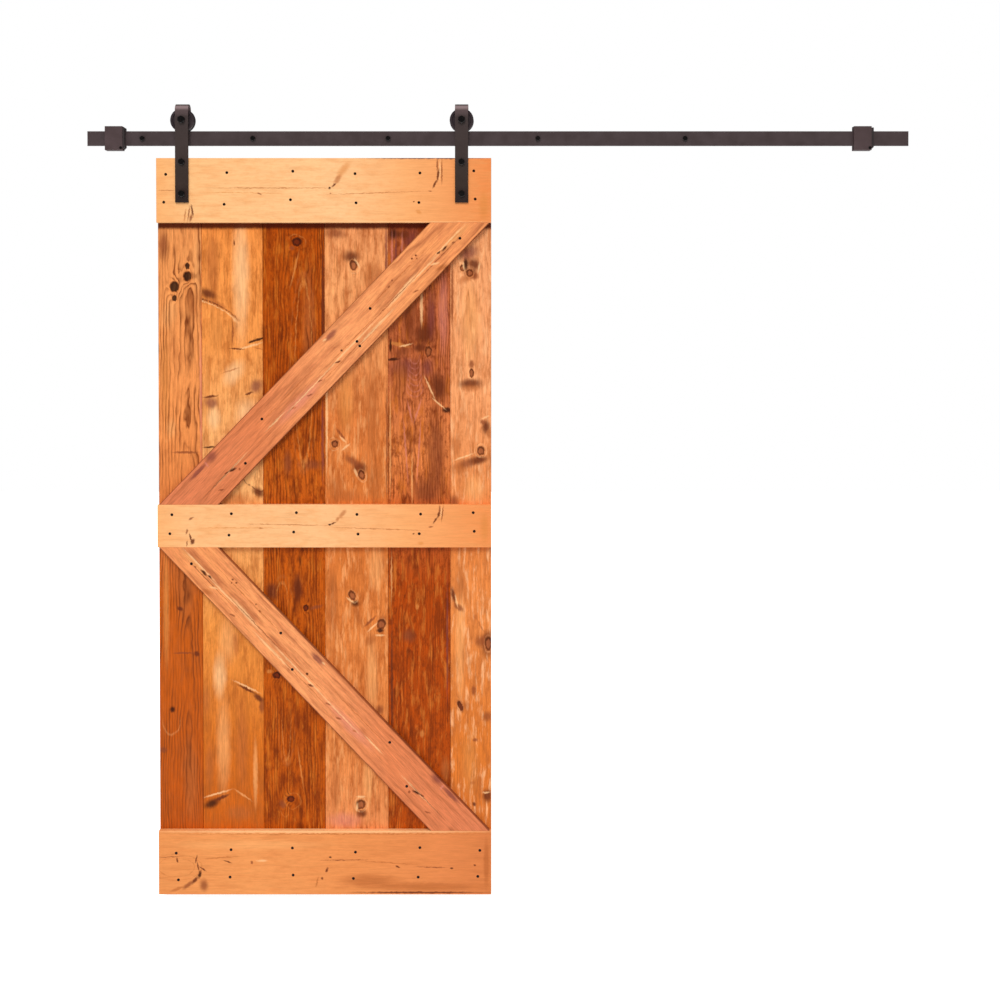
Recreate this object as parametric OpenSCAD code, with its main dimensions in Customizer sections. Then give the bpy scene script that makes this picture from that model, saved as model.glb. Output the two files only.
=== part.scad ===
// Sliding barn door on a flat track: the track with its spacers, wall screws and end stops, two
// top-bent strap hangers with ball-bearing wheels, and a ledged and braced plank door.
// +X runs along the track, +Y points into the wall and +Z is up. The origin is on the wall's face,
// at the middle wall screw, level with the middle of the track bar.

/* [Track] */
// Length of the track bar
track_len = 2370; // [2000:1:2600]
// Height of the track bar
track_h = 42; // [38:0.5:46]
// Thickness of the track bar
track_t = 6; // [5:0.5:6.5]
// How far the bar's left end is from the middle wall screw
track_left = 868; // [780:1:900]
// Length of each spacer, which is the gap from the wall to the bar
spacer_len = 38; // [34:0.5:45]
// Outer diameter of a spacer
spacer_d = 22; // [18:0.5:24]

/* [Wall screws] */
// Thread diameter of the wall screws
lag_d = 8; // [6:0.5:8.5]
// How far a wall screw's full thread goes into the wall
lag_depth = 44; // [30:1:70]
// Width across the flats of a wall screw's head
lag_head_w = 13; // [11:0.5:15]

/* [End stops] */
// Width of a stop along the track
stop_w = 51; // [40:1:60]
// Height of a stop
stop_h = 69; // [66:1:80]
// Depth of a stop from front to back
stop_d = 22; // [18:0.5:22]
// Thickness of the rubber pad on a stop
pad_t = 6; // [4:0.5:10]
// Height of the rubber pad
pad_h = 61; // [50:1:64]
// Left edge of the left stop
stop_left_x = -815.5; // [-840:0.5:-800]
// Left edge of the right stop
stop_right_x = 1342.5; // [1330:0.5:1400]

/* [Hangers and wheels] */
// Width of the strap
strap_w = 38; // [34:0.5:42]
// Thickness of the strap
strap_t = 5; // [4:0.5:5]
// How far the strap reaches below the middle of the track
strap_drop = 186; // [180:1:230]
// Distance of the left strap's middle from the door's left edge
hanger_in_left = 75; // [70:1:100]
// Distance of the right strap's middle from the door's right edge
hanger_in_right = 85; // [70:1:100]
// Tread diameter of a wheel
wheel_d = 61; // [58:0.5:62]
// Flange diameter of a wheel
flange_d = 69; // [66:0.5:70]
// Width of a wheel
wheel_w = 22; // [20:0.5:22]
// Diameter of an axle bolt
axle_d = 12; // [12]
// Diameter of the strap bolts
strap_bolt_d = 10; // [8:0.5:12]

/* [Door] */
// Width of the door
door_w = 965; // [940:1:980]
// Height of the door
door_h = 2134; // [2050:1:2200]
// Left edge of the door
door_x = -667.5; // [-680:0.5:-650]
// How far the door's top edge is below the middle of the track
door_drop = 57.5; // [50:0.5:60]
// Thickness of the planks and of the battens on them
board_t = 17.5; // [16:0.5:17.5]
// Height of the top and bottom rails
end_rail_h = 186; // [160:1:200]
// Height of the middle rail
mid_rail_h = 124; // [100:1:140]
// How far the middle rail's top edge is below the door's top edge
mid_rail_at = 1000; // [950:1:1050]
// Width of the two diagonal braces
brace_w = 124; // [100:1:130]
// Gap between a brace's corner and the door's edge
brace_in = 5; // [0:0.5:15]

/* [Hidden] */
$fn = 64;

eps = 1;                        // how far a cut runs past the faces it opens
root = 2;                       // how far a bolt's shank reaches into its head
hex = 6;                        // sides of a bolt head or nut

// planes across the door's depth, from the wall (y = 0) towards the front (y < 0)
track_back_y = -spacer_len;
track_mid_y = track_back_y - track_t / 2;
track_front_y = track_back_y - track_t;
strap_in_y = 13;                // half the gap between a strap's two legs
strap_back_y = track_mid_y - strap_in_y;
strap_front_y = strap_back_y - strap_t;
batten_front_y = strap_back_y;
plank_front_y = batten_front_y + board_t;
plank_back_y = plank_front_y + board_t;

// wall screws
lag_xs = [-709, -390, 0, 432, 857];
lag_r = lag_d / 2;
lag_shank_r = 3.5;
lag_bore_r = 4.5;
lag_tip = 6;                    // length of the point past the full thread
lag_point_r = 0.4;
lag_head_t = 5.5;

// end stops
stop_slot_play = 0.1;           // gap between the slot and the bar, each side
stop_screw_z = -27.5;
stop_screw_in = 5;              // from the stop's right edge to the clamping screw's axis
stop_screw_r = 2.5;
stop_screw_head_r = 4.2;
stop_screw_head_t = 3;
stop_screw_key = 4;             // across the flats of its hexagon socket
pad_chamfer = 5;

// hangers and wheels
door_right = door_x + door_w;
door_top = -door_drop;
hanger_xs = [door_x + hanger_in_left, door_right - hanger_in_right];
wheel_r = wheel_d / 2;
flange_r = flange_d / 2;
tread_lift = 0.3;               // the tread sits this far clear of the bar's top edge
axle_z = track_h / 2 + wheel_r + tread_lift;
bend_z = axle_z + 28.7;         // middle of the strap's bend
strap_tail = 22.3;              // how far the back leg reaches below the axle
groove_w = 8;                   // width of the wheel's groove at the tread
groove_mouth = 11;
wheel_chamfer = 1.5;
web_recess = 2.5;               // depth of the dished ring between hub and rim
web_r1 = 19;
web_r2 = 27.5;
axle_r = axle_d / 2;
axle_play = 0.15;
strap_bolt_r = strap_bolt_d / 2;
strap_bolt_play = 0.25;
strap_bolt_zs = [door_top - 12, door_top - 103.5];

// ball bearing, 12 x 32 x 10
bearing_w = 10;
bearing_r = 16;
ball_pitch_r = 11;
ball_r = 2.9;
ball_play = 0.05;
ball_count = 7;
inner_ring_r = 8.6;
outer_ring_r = 13.4;
cage_r1 = 10;
cage_r2 = 12;
cage_half = 3.6;
ball_pocket_play = 0.1;
lip_r = 14;                     // opening in the wheel in front of the bearing
sleeve_r = 8.4;
clip_t = 1.2;                   // retaining ring
clip_r1 = 14;
clip_r2 = 17;
clip_gap = 40;                  // degrees left open

// nuts, washers and heads: [across the flats, thickness]
axle_hex = [19, 7.5];
axle_nut = [19, 10];
axle_washer = [24, 2];
bolt_hex = [17, 6.4];
bolt_nut = [17, 8];
bolt_washer = [20, 2];
thread_out = 2;                 // thread that shows past a nut
strap_bolt_end_y = plank_back_y + bolt_washer[1] + bolt_nut[1] + thread_out;
axle_back_y = track_mid_y + strap_in_y + strap_t;
axle_end_y = axle_back_y + axle_washer[1] + axle_nut[1] + thread_out;

// door
plank_shares = [126, 177, 179, 184, 180, 119];
share_sum = [for (s = plank_shares) 1] * plank_shares;
plank_gap = 0.5;
tongue_l = 6;
tongue_t = 5;
tongue_play = 0.2;
bevel = 1.2;                    // eased edge where two planks meet
wood_screw_r = 2.1;
wood_screw_head_r = 4.2;
wood_screw_head_t = 3.2;
wood_screw_len = 31;
screw_socket_w = 2.6;           // across the flats of the square drive
screw_socket_d = 2;

// wood screws: [distance from the door's left edge, distance below its top edge]
rail_screws = [
    [28, 47], [204, 42], [394, 38], [573, 45], [760, 43], [915, 37],
    [22, 127], [196, 133], [387, 120], [576, 129], [757, 128], [919, 118],
    [42, 1029], [214, 1026], [402, 1023], [577, 1028], [761, 1027], [913, 1023],
    [36, 1084], [207, 1088], [394, 1079], [580, 1085], [757, 1084], [916, 1077],
    [51, 2013], [210, 2003], [388, 1998], [571, 2010], [758, 1997], [932, 2005],
    [57, 2091], [207, 2083], [390, 2077], [565, 2087], [753, 2083], [926, 2081]
];
brace_screws = [
    [875, 231], [616, 433], [578, 528], [586, 541], [303, 752], [255, 880],
    [98, 1171], [356, 1372], [389, 1478], [671, 1690], [720, 1818]
];

// where plank i starts, measured from the door's left edge
function plank_at(i) =
    i == 0 ? 0 : plank_at(i - 1) + door_w * plank_shares[i - 1] / share_sum;
function hex_r(w) = w / 2 / cos(30);

// stands children on the plane y, with their Z axis turned to +Y
module facing_wall(x, y, z) {
    translate([x, y, z]) rotate([-90, 0, 0]) children();
}

// hexagon with a corner up, chamfered at its outer end; it grows towards the front from plane y
module hex_head(x, y, z, size) {
    w = size[0];
    t = size[1];
    facing_wall(x, y - t, z) intersection() {
        rotate(30) cylinder(h = t, r = hex_r(w), $fn = hex);
        cylinder(h = t, r1 = w / 2 * 0.94, r2 = w / 2 * 0.94 + t * 1.9);
    }
}

// ---- track ----

module track_rail() {
    color("#4c4040")
    difference() {
        translate([-track_left, track_front_y, -track_h / 2]) cube([track_len, track_t, track_h]);
        for (x = lag_xs)
            facing_wall(x, track_front_y - eps, 0) cylinder(h = track_t + 2 * eps, r = lag_bore_r);
    }
}

module spacer(i) {
    color("#4c4040")
    facing_wall(lag_xs[i], -spacer_len, 0) difference() {
        cylinder(h = spacer_len, d = spacer_d);
        translate([0, 0, -eps]) cylinder(h = spacer_len + 2 * eps, r = lag_bore_r);
    }
}

module lag_screws() {
    color("#383030")
    for (x = lag_xs) {
        hex_head(x, track_front_y, 0, [lag_head_w, lag_head_t]);
        facing_wall(x, track_front_y - root, 0)
            cylinder(h = root - track_front_y + lag_depth, r = lag_shank_r);
        facing_wall(x, 0, 0) cylinder(h = lag_depth, r = lag_r);
        facing_wall(x, lag_depth, 0) cylinder(h = lag_tip, r1 = lag_r, r2 = lag_point_r);
    }
}

// block that straddles the bar, open below, pinched on it by a screw under the bar
module end_stop(x) {
    slot_t = track_t + 2 * stop_slot_play;
    slot_top = track_h / 2 + stop_slot_play;
    color("#4e4141")
    difference() {
        translate([x, track_mid_y - stop_d / 2, -stop_h / 2]) cube([stop_w, stop_d, stop_h]);
        translate([x - eps, track_mid_y - slot_t / 2, -stop_h / 2 - eps])
            cube([stop_w + 2 * eps, slot_t, stop_h / 2 + eps + slot_top]);
        facing_wall(x + stop_w - stop_screw_in, track_mid_y - stop_d / 2 - eps, stop_screw_z)
            cylinder(h = stop_d + 2 * eps, r = stop_screw_r);
        facing_wall(x + stop_w - stop_screw_in, track_mid_y - stop_d / 2 - eps, stop_screw_z)
            cylinder(h = eps + stop_screw_head_t, r = stop_screw_head_r);
    }
}

module stop_pad(x) {
    low = -pad_h / 2;
    color("#3a3234")
    facing_wall(x + stop_w, track_mid_y - stop_d / 2, 0) difference() {
        linear_extrude(stop_d) polygon([
            [0, low], [pad_t, low], [pad_t, -low - pad_chamfer], [pad_t - pad_chamfer, -low], [0, -low]
        ]);
        translate([-eps, -track_h / 2 - stop_slot_play, stop_d / 2 - track_t / 2 - stop_slot_play])
            cube([pad_t + 2 * eps, pad_h, track_t + 2 * stop_slot_play]);
    }
}

module stop_screws() {
    color("#2c2627")
    for (x = [stop_left_x, stop_right_x])
        facing_wall(x + stop_w - stop_screw_in, track_mid_y - stop_d / 2, stop_screw_z) difference() {
            union() {
                cylinder(h = stop_screw_head_t, r = stop_screw_head_r);
                cylinder(h = stop_d, r = stop_screw_r);
            }
            translate([0, 0, -eps]) cylinder(h = eps + 2, r = hex_r(stop_screw_key), $fn = hex);
        }
}

// ---- door ----

// bores for the wood screws whose axes lie between two distances from the door's left edge
module screw_bores(screws, from, to, head) {
    for (s = screws)
        if (s[0] > from && s[0] < to)
            facing_wall(door_x + s[0], batten_front_y, door_top - s[1]) {
                cylinder(h = wood_screw_len, r = wood_screw_r);
                if (head) {
                    cylinder(h = wood_screw_head_t, r1 = wood_screw_head_r, r2 = wood_screw_r);
                    translate([0, 0, -eps]) cylinder(h = eps, r = wood_screw_head_r);
                }
            }
}

module strap_bolt_bores() {
    for (x = hanger_xs, z = strap_bolt_zs)
        facing_wall(x, strap_front_y - eps, z)
            cylinder(h = plank_back_y - strap_front_y + 2 * eps, r = strap_bolt_r + strap_bolt_play);
}

// plank with a tongue on its right edge and a groove in its left edge, none on the door's edges
module plank(i) {
    x0 = plank_at(i) + (i == 0 ? 0 : plank_gap / 2);
    x1 = plank_at(i + 1) - (i == 5 ? 0 : plank_gap / 2);
    left_bevel = i == 0 ? 0 : bevel;
    right_bevel = i == 5 ? 0 : bevel;
    tongue_y = board_t / 2 - tongue_t / 2;
    color(i % 2 == 0 ? "#b4703c" : "#c4864a")
    difference() {
        translate([door_x, plank_front_y, door_top - door_h]) linear_extrude(door_h) difference() {
            union() {
                polygon([
                    [x0 + left_bevel, 0], [x1 - right_bevel, 0], [x1, right_bevel], [x1, board_t],
                    [x0, board_t], [x0, left_bevel]
                ]);
                if (i < 5) translate([x1 - eps, tongue_y]) square([tongue_l + eps, tongue_t]);
            }
            if (i > 0)
                translate([x0 - eps, tongue_y - tongue_play])
                    square([eps + tongue_l + tongue_play, tongue_t + 2 * tongue_play]);
        }
        screw_bores(rail_screws, x0 - 2 * tongue_l, x1 + 2 * tongue_l, false);
        screw_bores(brace_screws, x0 - 2 * tongue_l, x1 + 2 * tongue_l, false);
        strap_bolt_bores();
    }
}

// batten across the whole door; top is how far its upper edge is below the door's top edge
module batten(top, h) {
    color("#de9350")
    difference() {
        translate([door_x, batten_front_y, door_top - top - h]) cube([door_w, board_t, h]);
        screw_bores([for (s = rail_screws) if (s[1] > top && s[1] < top + h) s], 0, door_w, true);
        strap_bolt_bores();
    }
}

// diagonal board from its upper end (near the right edge if right is true) to its lower end
module brace(top, low, right) {
    fall = low - top;
    run = door_w - 2 * brace_in;
    foot = brace_foot(run, fall);
    a = brace_in;
    b = door_w - brace_in;
    color("#dc8d55")
    difference() {
        translate([door_x, plank_front_y, door_top]) rotate([90, 0, 0]) linear_extrude(board_t)
            polygon(right
                ? [[b - foot, -top], [b, -top], [a + foot, -low], [a, -low]]
                : [[a, -top], [a + foot, -top], [b, -low], [b - foot, -low]]);
        screw_bores(brace_screws, 0, door_w, true);
    }
}

// length of a brace's level end when the board is brace_w wide across its grain, from
// foot = brace_w / sin(slope) and tan(slope) = fall / (run - foot)
function brace_foot(run, fall) =
    let (w2 = brace_w * brace_w, rest = fall * fall - w2)
    (brace_w * sqrt(w2 * run * run + rest * (fall * fall + run * run)) - w2 * run) / rest;

module wood_screws(screws) {
    color("#241c1a")
    for (s = screws)
        facing_wall(door_x + s[0], batten_front_y, door_top - s[1]) difference() {
            union() {
                cylinder(h = wood_screw_head_t, r1 = wood_screw_head_r, r2 = wood_screw_r);
                cylinder(h = wood_screw_len, r = wood_screw_r);
            }
            translate([-screw_socket_w / 2, -screw_socket_w / 2, -eps])
                cube([screw_socket_w, screw_socket_w, eps + screw_socket_d]);
        }
}

// ---- hangers ----

// flat strap bent over the wheel, its section drawn in the YZ plane
module hanger(x) {
    outer = strap_in_y + strap_t;
    tail_z = axle_z - strap_tail;
    color("#4a3f40")
    difference() {
        translate([x - strap_w / 2, track_mid_y, 0]) rotate([90, 0, 90]) linear_extrude(strap_w) {
            translate([-outer, -strap_drop]) square([strap_t, strap_drop + bend_z]);
            translate([strap_in_y, tail_z]) square([strap_t, bend_z - tail_z]);
            translate([0, bend_z]) difference() {
                circle(r = outer);
                circle(r = strap_in_y);
                translate([-2 * outer, -2 * outer]) square([4 * outer, 2 * outer]);
            }
        }
        facing_wall(x, track_mid_y - 2 * outer, axle_z)
            cylinder(h = 4 * outer, r = axle_r + axle_play);
        for (z = strap_bolt_zs)
            facing_wall(x, strap_front_y - eps, z)
                cylinder(h = strap_t + 2 * eps, r = strap_bolt_r + strap_bolt_play);
    }
}

module strap_bolts() {
    color("#332a2b")
    for (x = hanger_xs, z = strap_bolt_zs) {
        hex_head(x, strap_front_y, z, bolt_hex);
        facing_wall(x, strap_front_y - root, z)
            cylinder(h = root + strap_bolt_end_y - strap_front_y, r = strap_bolt_r);
    }
}

module strap_washers() {
    color("#5a5456")
    for (x = hanger_xs, z = strap_bolt_zs)
        washer(x, plank_back_y, z, bolt_washer, strap_bolt_r);
}

module strap_nuts() {
    color("#5a5456")
    for (x = hanger_xs, z = strap_bolt_zs)
        nut(x, plank_back_y + bolt_washer[1], z, bolt_nut, strap_bolt_r);
}

module washer(x, y, z, size, r) {
    facing_wall(x, y, z) difference() {
        cylinder(h = size[1], d = size[0]);
        translate([0, 0, -eps]) cylinder(h = size[1] + 2 * eps, r = r + strap_bolt_play);
    }
}

module nut(x, y, z, size, r) {
    facing_wall(x, y, z) difference() {
        rotate(30) cylinder(h = size[1], r = hex_r(size[0]), $fn = hex);
        translate([0, 0, -eps]) cylinder(h = size[1] + 2 * eps, r = r);
    }
}

// ---- wheels and their axles ----

module axle_bolt(x) {
    color("#332a2b") {
        hex_head(x, strap_front_y, axle_z, axle_hex);
        facing_wall(x, strap_front_y - root, axle_z)
            cylinder(h = root + axle_end_y - strap_front_y, r = axle_r);
    }
}

module axle_washers() {
    color("#5a5456")
    for (x = hanger_xs) washer(x, axle_back_y, axle_z, axle_washer, axle_r);
}

module axle_nuts() {
    color("#5a5456")
    for (x = hanger_xs) nut(x, axle_back_y + axle_washer[1], axle_z, axle_nut, axle_r);
}

// sleeves that hold the bearing in the middle between the strap's legs
module axle_sleeves() {
    len = strap_in_y - bearing_w / 2;
    color("#8a8486")
    for (x = hanger_xs, y = [strap_back_y, track_mid_y + bearing_w / 2])
        facing_wall(x, y, axle_z) difference() {
            cylinder(h = len, r = sleeve_r);
            translate([0, 0, -eps]) cylinder(h = len + 2 * eps, r = axle_r + axle_play);
        }
}

// grooved wheel turned from solid bar, its section drawn from the axle outwards
module wheel(x) {
    half = wheel_w / 2;
    b = bearing_w / 2;
    color("#3a3032")
    facing_wall(x, track_mid_y, axle_z) rotate_extrude() difference() {
        polygon([
            [lip_r, -half], [web_r1, -half], [web_r1 + 1, -half + web_recess],
            [web_r2 - 1, -half + web_recess], [web_r2, -half],
            [flange_r - wheel_chamfer, -half], [flange_r, -half + wheel_chamfer],
            [flange_r, -groove_mouth / 2], [wheel_r, -groove_w / 2],
            [wheel_r, groove_w / 2], [flange_r, groove_mouth / 2],
            [flange_r, half - wheel_chamfer], [flange_r - wheel_chamfer, half],
            [web_r2, half], [web_r2 - 1, half - web_recess],
            [web_r1 + 1, half - web_recess], [web_r1, half], [lip_r, half]
        ]);
        translate([0, -b]) square([bearing_r, half + b + eps]);
        translate([0, b]) square([clip_r2, clip_t]);
    }
}

module retaining_ring(x) {
    color("#8a8486")
    facing_wall(x, track_mid_y + bearing_w / 2, axle_z)
        rotate(90 + clip_gap / 2) rotate_extrude(angle = 360 - clip_gap)
            translate([clip_r1, 0]) square([clip_r2 - clip_r1, clip_t]);
}

module bearing_ring(x, r1, r2) {
    color("#c8c8cc")
    facing_wall(x, track_mid_y, axle_z) rotate_extrude() difference() {
        translate([r1, -bearing_w / 2]) square([r2 - r1, bearing_w]);
        translate([ball_pitch_r, 0]) circle(r = ball_r + ball_play);
    }
}

module bearing_balls(x) {
    color("#dcdce0")
    facing_wall(x, track_mid_y, axle_z)
        for (i = [0 : ball_count - 1])
            rotate(i * 360 / ball_count) translate([ball_pitch_r, 0, 0]) sphere(r = ball_r);
}

// ring with a round pocket drilled through it for each ball
module bearing_cage(x) {
    color("#b89850")
    facing_wall(x, track_mid_y, axle_z) difference() {
        rotate_extrude() translate([cage_r1, -cage_half]) square([cage_r2 - cage_r1, 2 * cage_half]);
        for (i = [0 : ball_count - 1])
            rotate(i * 360 / ball_count) translate([cage_r1 - eps, 0, 0]) rotate([0, 90, 0])
                cylinder(h = cage_r2 - cage_r1 + 2 * eps, r = ball_r + ball_pocket_play);
    }
}

track_rail();
spacer(0);  // spacer_1
spacer(1);  // spacer_2
spacer(2);  // spacer_3
spacer(3);  // spacer_4
spacer(4);  // spacer_5
lag_screws();
end_stop(stop_left_x);  // end_stop_left
end_stop(stop_right_x);  // end_stop_right
stop_pad(stop_left_x);  // stop_pad_left
stop_pad(stop_right_x);  // stop_pad_right
stop_screws();
plank(0);  // plank_1
plank(1);  // plank_2
plank(2);  // plank_3
plank(3);  // plank_4
plank(4);  // plank_5
plank(5);  // plank_6
batten(0, end_rail_h);  // top_rail
batten(mid_rail_at, mid_rail_h);  // middle_rail
batten(door_h - end_rail_h, end_rail_h);  // bottom_rail
brace(end_rail_h, mid_rail_at, true);  // brace_upper
brace(mid_rail_at + mid_rail_h, door_h - end_rail_h, false);  // brace_lower
wood_screws(rail_screws);  // rail_wood_screws
wood_screws(brace_screws);  // brace_wood_screws
hanger(hanger_xs[0]);  // hanger_left
hanger(hanger_xs[1]);  // hanger_right
strap_bolts();
strap_washers();
strap_nuts();
axle_bolt(hanger_xs[0]);  // axle_bolt_left
axle_bolt(hanger_xs[1]);  // axle_bolt_right
axle_washers();
axle_nuts();
axle_sleeves();
wheel(hanger_xs[0]);  // wheel_left
wheel(hanger_xs[1]);  // wheel_right
retaining_ring(hanger_xs[0]);  // retaining_ring_left
retaining_ring(hanger_xs[1]);  // retaining_ring_right
bearing_ring(hanger_xs[0], outer_ring_r, bearing_r);  // bearing_outer_left
bearing_ring(hanger_xs[1], outer_ring_r, bearing_r);  // bearing_outer_right
bearing_ring(hanger_xs[0], axle_r, inner_ring_r);  // bearing_inner_left
bearing_ring(hanger_xs[1], axle_r, inner_ring_r);  // bearing_inner_right
bearing_balls(hanger_xs[0]);  // bearing_balls_left
bearing_balls(hanger_xs[1]);  // bearing_balls_right
bearing_cage(hanger_xs[0]);  // bearing_cage_left
bearing_cage(hanger_xs[1]);  // bearing_cage_right
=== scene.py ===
import math

import bmesh
import bpy
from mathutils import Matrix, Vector


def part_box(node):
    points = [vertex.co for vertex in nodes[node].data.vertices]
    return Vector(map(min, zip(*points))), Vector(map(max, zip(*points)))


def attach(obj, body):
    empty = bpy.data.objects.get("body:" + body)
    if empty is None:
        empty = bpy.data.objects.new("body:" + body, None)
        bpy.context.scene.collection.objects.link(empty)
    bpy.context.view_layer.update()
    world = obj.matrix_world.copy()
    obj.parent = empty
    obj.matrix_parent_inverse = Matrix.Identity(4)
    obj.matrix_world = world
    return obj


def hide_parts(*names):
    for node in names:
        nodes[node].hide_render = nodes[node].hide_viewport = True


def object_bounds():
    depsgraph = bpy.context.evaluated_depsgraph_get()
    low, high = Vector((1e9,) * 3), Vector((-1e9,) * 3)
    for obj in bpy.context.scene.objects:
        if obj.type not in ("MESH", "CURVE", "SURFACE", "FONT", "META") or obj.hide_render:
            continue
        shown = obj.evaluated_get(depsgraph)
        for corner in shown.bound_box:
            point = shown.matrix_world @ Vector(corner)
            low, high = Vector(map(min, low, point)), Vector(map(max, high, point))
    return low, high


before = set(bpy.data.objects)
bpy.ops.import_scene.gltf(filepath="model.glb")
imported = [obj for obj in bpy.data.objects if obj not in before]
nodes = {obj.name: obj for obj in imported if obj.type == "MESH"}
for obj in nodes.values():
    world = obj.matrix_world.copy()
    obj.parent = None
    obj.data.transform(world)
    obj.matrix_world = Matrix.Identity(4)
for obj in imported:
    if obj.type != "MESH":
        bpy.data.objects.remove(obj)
cadBox = [list(corner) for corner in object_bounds()]
mm = 0.001
print("frame loaded:", len(nodes), "nodes")


def toLinear(hexColour, alpha=1.0):
    # sRGB hex to the linear colour that the shaders take
    parts = [int(hexColour[i:i + 2], 16) / 255 for i in (1, 3, 5)]
    return tuple(c / 12.92 if c <= 0.04045 else ((c + 0.055) / 1.055) ** 2.4 for c in parts) + (alpha,)


def put(tree, kind, feeds=None, out=0, stops=None, **settings):
    # adds one node with its settings, values and links, and gives back the output asked for
    node = tree.nodes.new(kind)
    for key, value in settings.items():
        setattr(node, key, value)
    for key, value in (feeds or {}).items():
        if isinstance(value, list):  # several shapes into one socket
            for shape in value:
                tree.links.new(shape, node.inputs[key])
        elif isinstance(value, bpy.types.NodeSocket):
            tree.links.new(value, node.inputs[key])
        else:
            node.inputs[key].default_value = value
    if stops:
        ramp = node.color_ramp
        while len(ramp.elements) < len(stops):
            ramp.elements.new(0.5)
        for element, (position, colour) in zip(ramp.elements, stops):
            element.position = position
            element.color = toLinear(colour) if isinstance(colour, str) else (colour, colour, colour, 1)
    return node.outputs[out] if len(node.outputs) else node


def newMaterial(name):
    material = bpy.data.materials.new(name)
    material.use_nodes = True
    material.node_tree.nodes.clear()
    return material, material.node_tree


# camera, light and floor

view = {
    "place": (0.323, -3.554, -0.5606),  # metres
    "tiltDown": 0.813,  # degrees
    "lens": 43.68,  # mm on a 36 mm film
    "drop": -0.15,  # lens shift that keeps the door's sides upright
}
camera = bpy.data.objects.new("camera", bpy.data.cameras.new("camera"))
camera.location = view["place"]
camera.rotation_euler = (math.radians(90 - view["tiltDown"]), 0, 0)
camera.data.lens = view["lens"]
camera.data.sensor_width = 36
camera.data.shift_y = view["drop"]
camera.data.clip_start = 0.05
camera.data.clip_end = 60
bpy.context.scene.collection.objects.link(camera)
bpy.context.scene.camera = camera
bpy.context.scene.view_settings.view_transform = "Standard"

studio = {
    "ambient": 0.66,
    "reflected": 0.1,
    "keyStrength": 1.75,
    "keySoftness": 26,  # degrees that the key light fills
    "keyFrom": (-0.12, -0.72, 0.68),
}
world = bpy.data.worlds.new("studioWhite")
bpy.context.scene.world = world
world.use_nodes = True
tree = world.node_tree
tree.nodes.clear()
path = put(tree, "ShaderNodeLightPath", out="Is Camera Ray").node
ambient = put(tree, "ShaderNodeBackground", {"Color": (1, 1, 1, 1), "Strength": studio["ambient"]})
mirrored = put(tree, "ShaderNodeBackground", {"Color": (1, 1, 1, 1), "Strength": studio["reflected"]})
backdrop = put(tree, "ShaderNodeBackground", {"Color": (1, 1, 1, 1), "Strength": 1.0})
mixed = put(tree, "ShaderNodeMixShader", {0: path.outputs["Is Glossy Ray"], 1: ambient, 2: mirrored})
mixed = put(tree, "ShaderNodeMixShader", {0: path.outputs["Is Camera Ray"], 1: mixed, 2: backdrop})
put(tree, "ShaderNodeOutputWorld", {"Surface": mixed})

keyLight = bpy.data.objects.new("keyLight", bpy.data.lights.new("keyLight", "SUN"))
keyLight.data.energy = studio["keyStrength"]
keyLight.data.angle = math.radians(studio["keySoftness"])
keyLight.rotation_euler = Vector(studio["keyFrom"]).to_track_quat("Z", "Y").to_euler()
keyLight.visible_glossy = False  # its light is soft: the sheen comes from the room
bpy.context.scene.collection.objects.link(keyLight)

floorMesh = bpy.data.meshes.new("floor")
floorHeight = cadBox[0][2] - 0.02
floorCorners = [(x, y, floorHeight) for x, y in ((-9, -6), (9, -6), (9, 9), (-9, 9))]
floorMesh.from_pydata(floorCorners, [], [(0, 1, 2, 3)])
floor = bpy.data.objects.new("floor", floorMesh)
bpy.context.scene.collection.objects.link(floor)
floor.visible_diffuse = False  # no glow from below on the door's foot
floorPaint, tree = newMaterial("matt white floor paint")  # flat white that runs into the backdrop
place = put(tree, "ShaderNodeTexCoord", out="Object")
speck = put(tree, "ShaderNodeTexNoise", {"Vector": place, "Scale": 40.0})
white = put(tree, "ShaderNodeValToRGB", {"Fac": speck}, stops=[(0.3, "#f8f8f8"), (0.7, "#ffffff")])
glow = {"Emission Color": (1, 1, 1, 1), "Emission Strength": 0.62}
coat = put(tree, "ShaderNodeBsdfPrincipled", {"Base Color": white, "Roughness": 0.8, **glow}, out="BSDF")
put(tree, "ShaderNodeOutputMaterial", {"Surface": coat})
floorMesh.materials.append(floorPaint)
print("camera, light and floor set")


# wood: every board has its own look. Places are in mm from the door's left edge and below its top

door = {"left": -667.5, "top": -57.5, "front": -54.0, "width": 965, "braceDrop": 937}

# stain tones, with how strongly each one covers the wood; some of them also lay painted shade and highlights
stain_and_shade_tones = {
    "char": ("#3e180a", 0.95),
    "umber": ("#6a2e16", 0.92),
    "plum": ("#7c3a34", 0.75),
    "rust": ("#8c4424", 0.78),
    "amber": ("#b4602c", 0.62),
    "blush": ("#dc8472", 0.5),
    "ochre": ("#dc8842", 0.6),
    "honey": ("#f4a664", 0.65),
    "straw": ("#ffc68c", 0.7),
}

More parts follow.
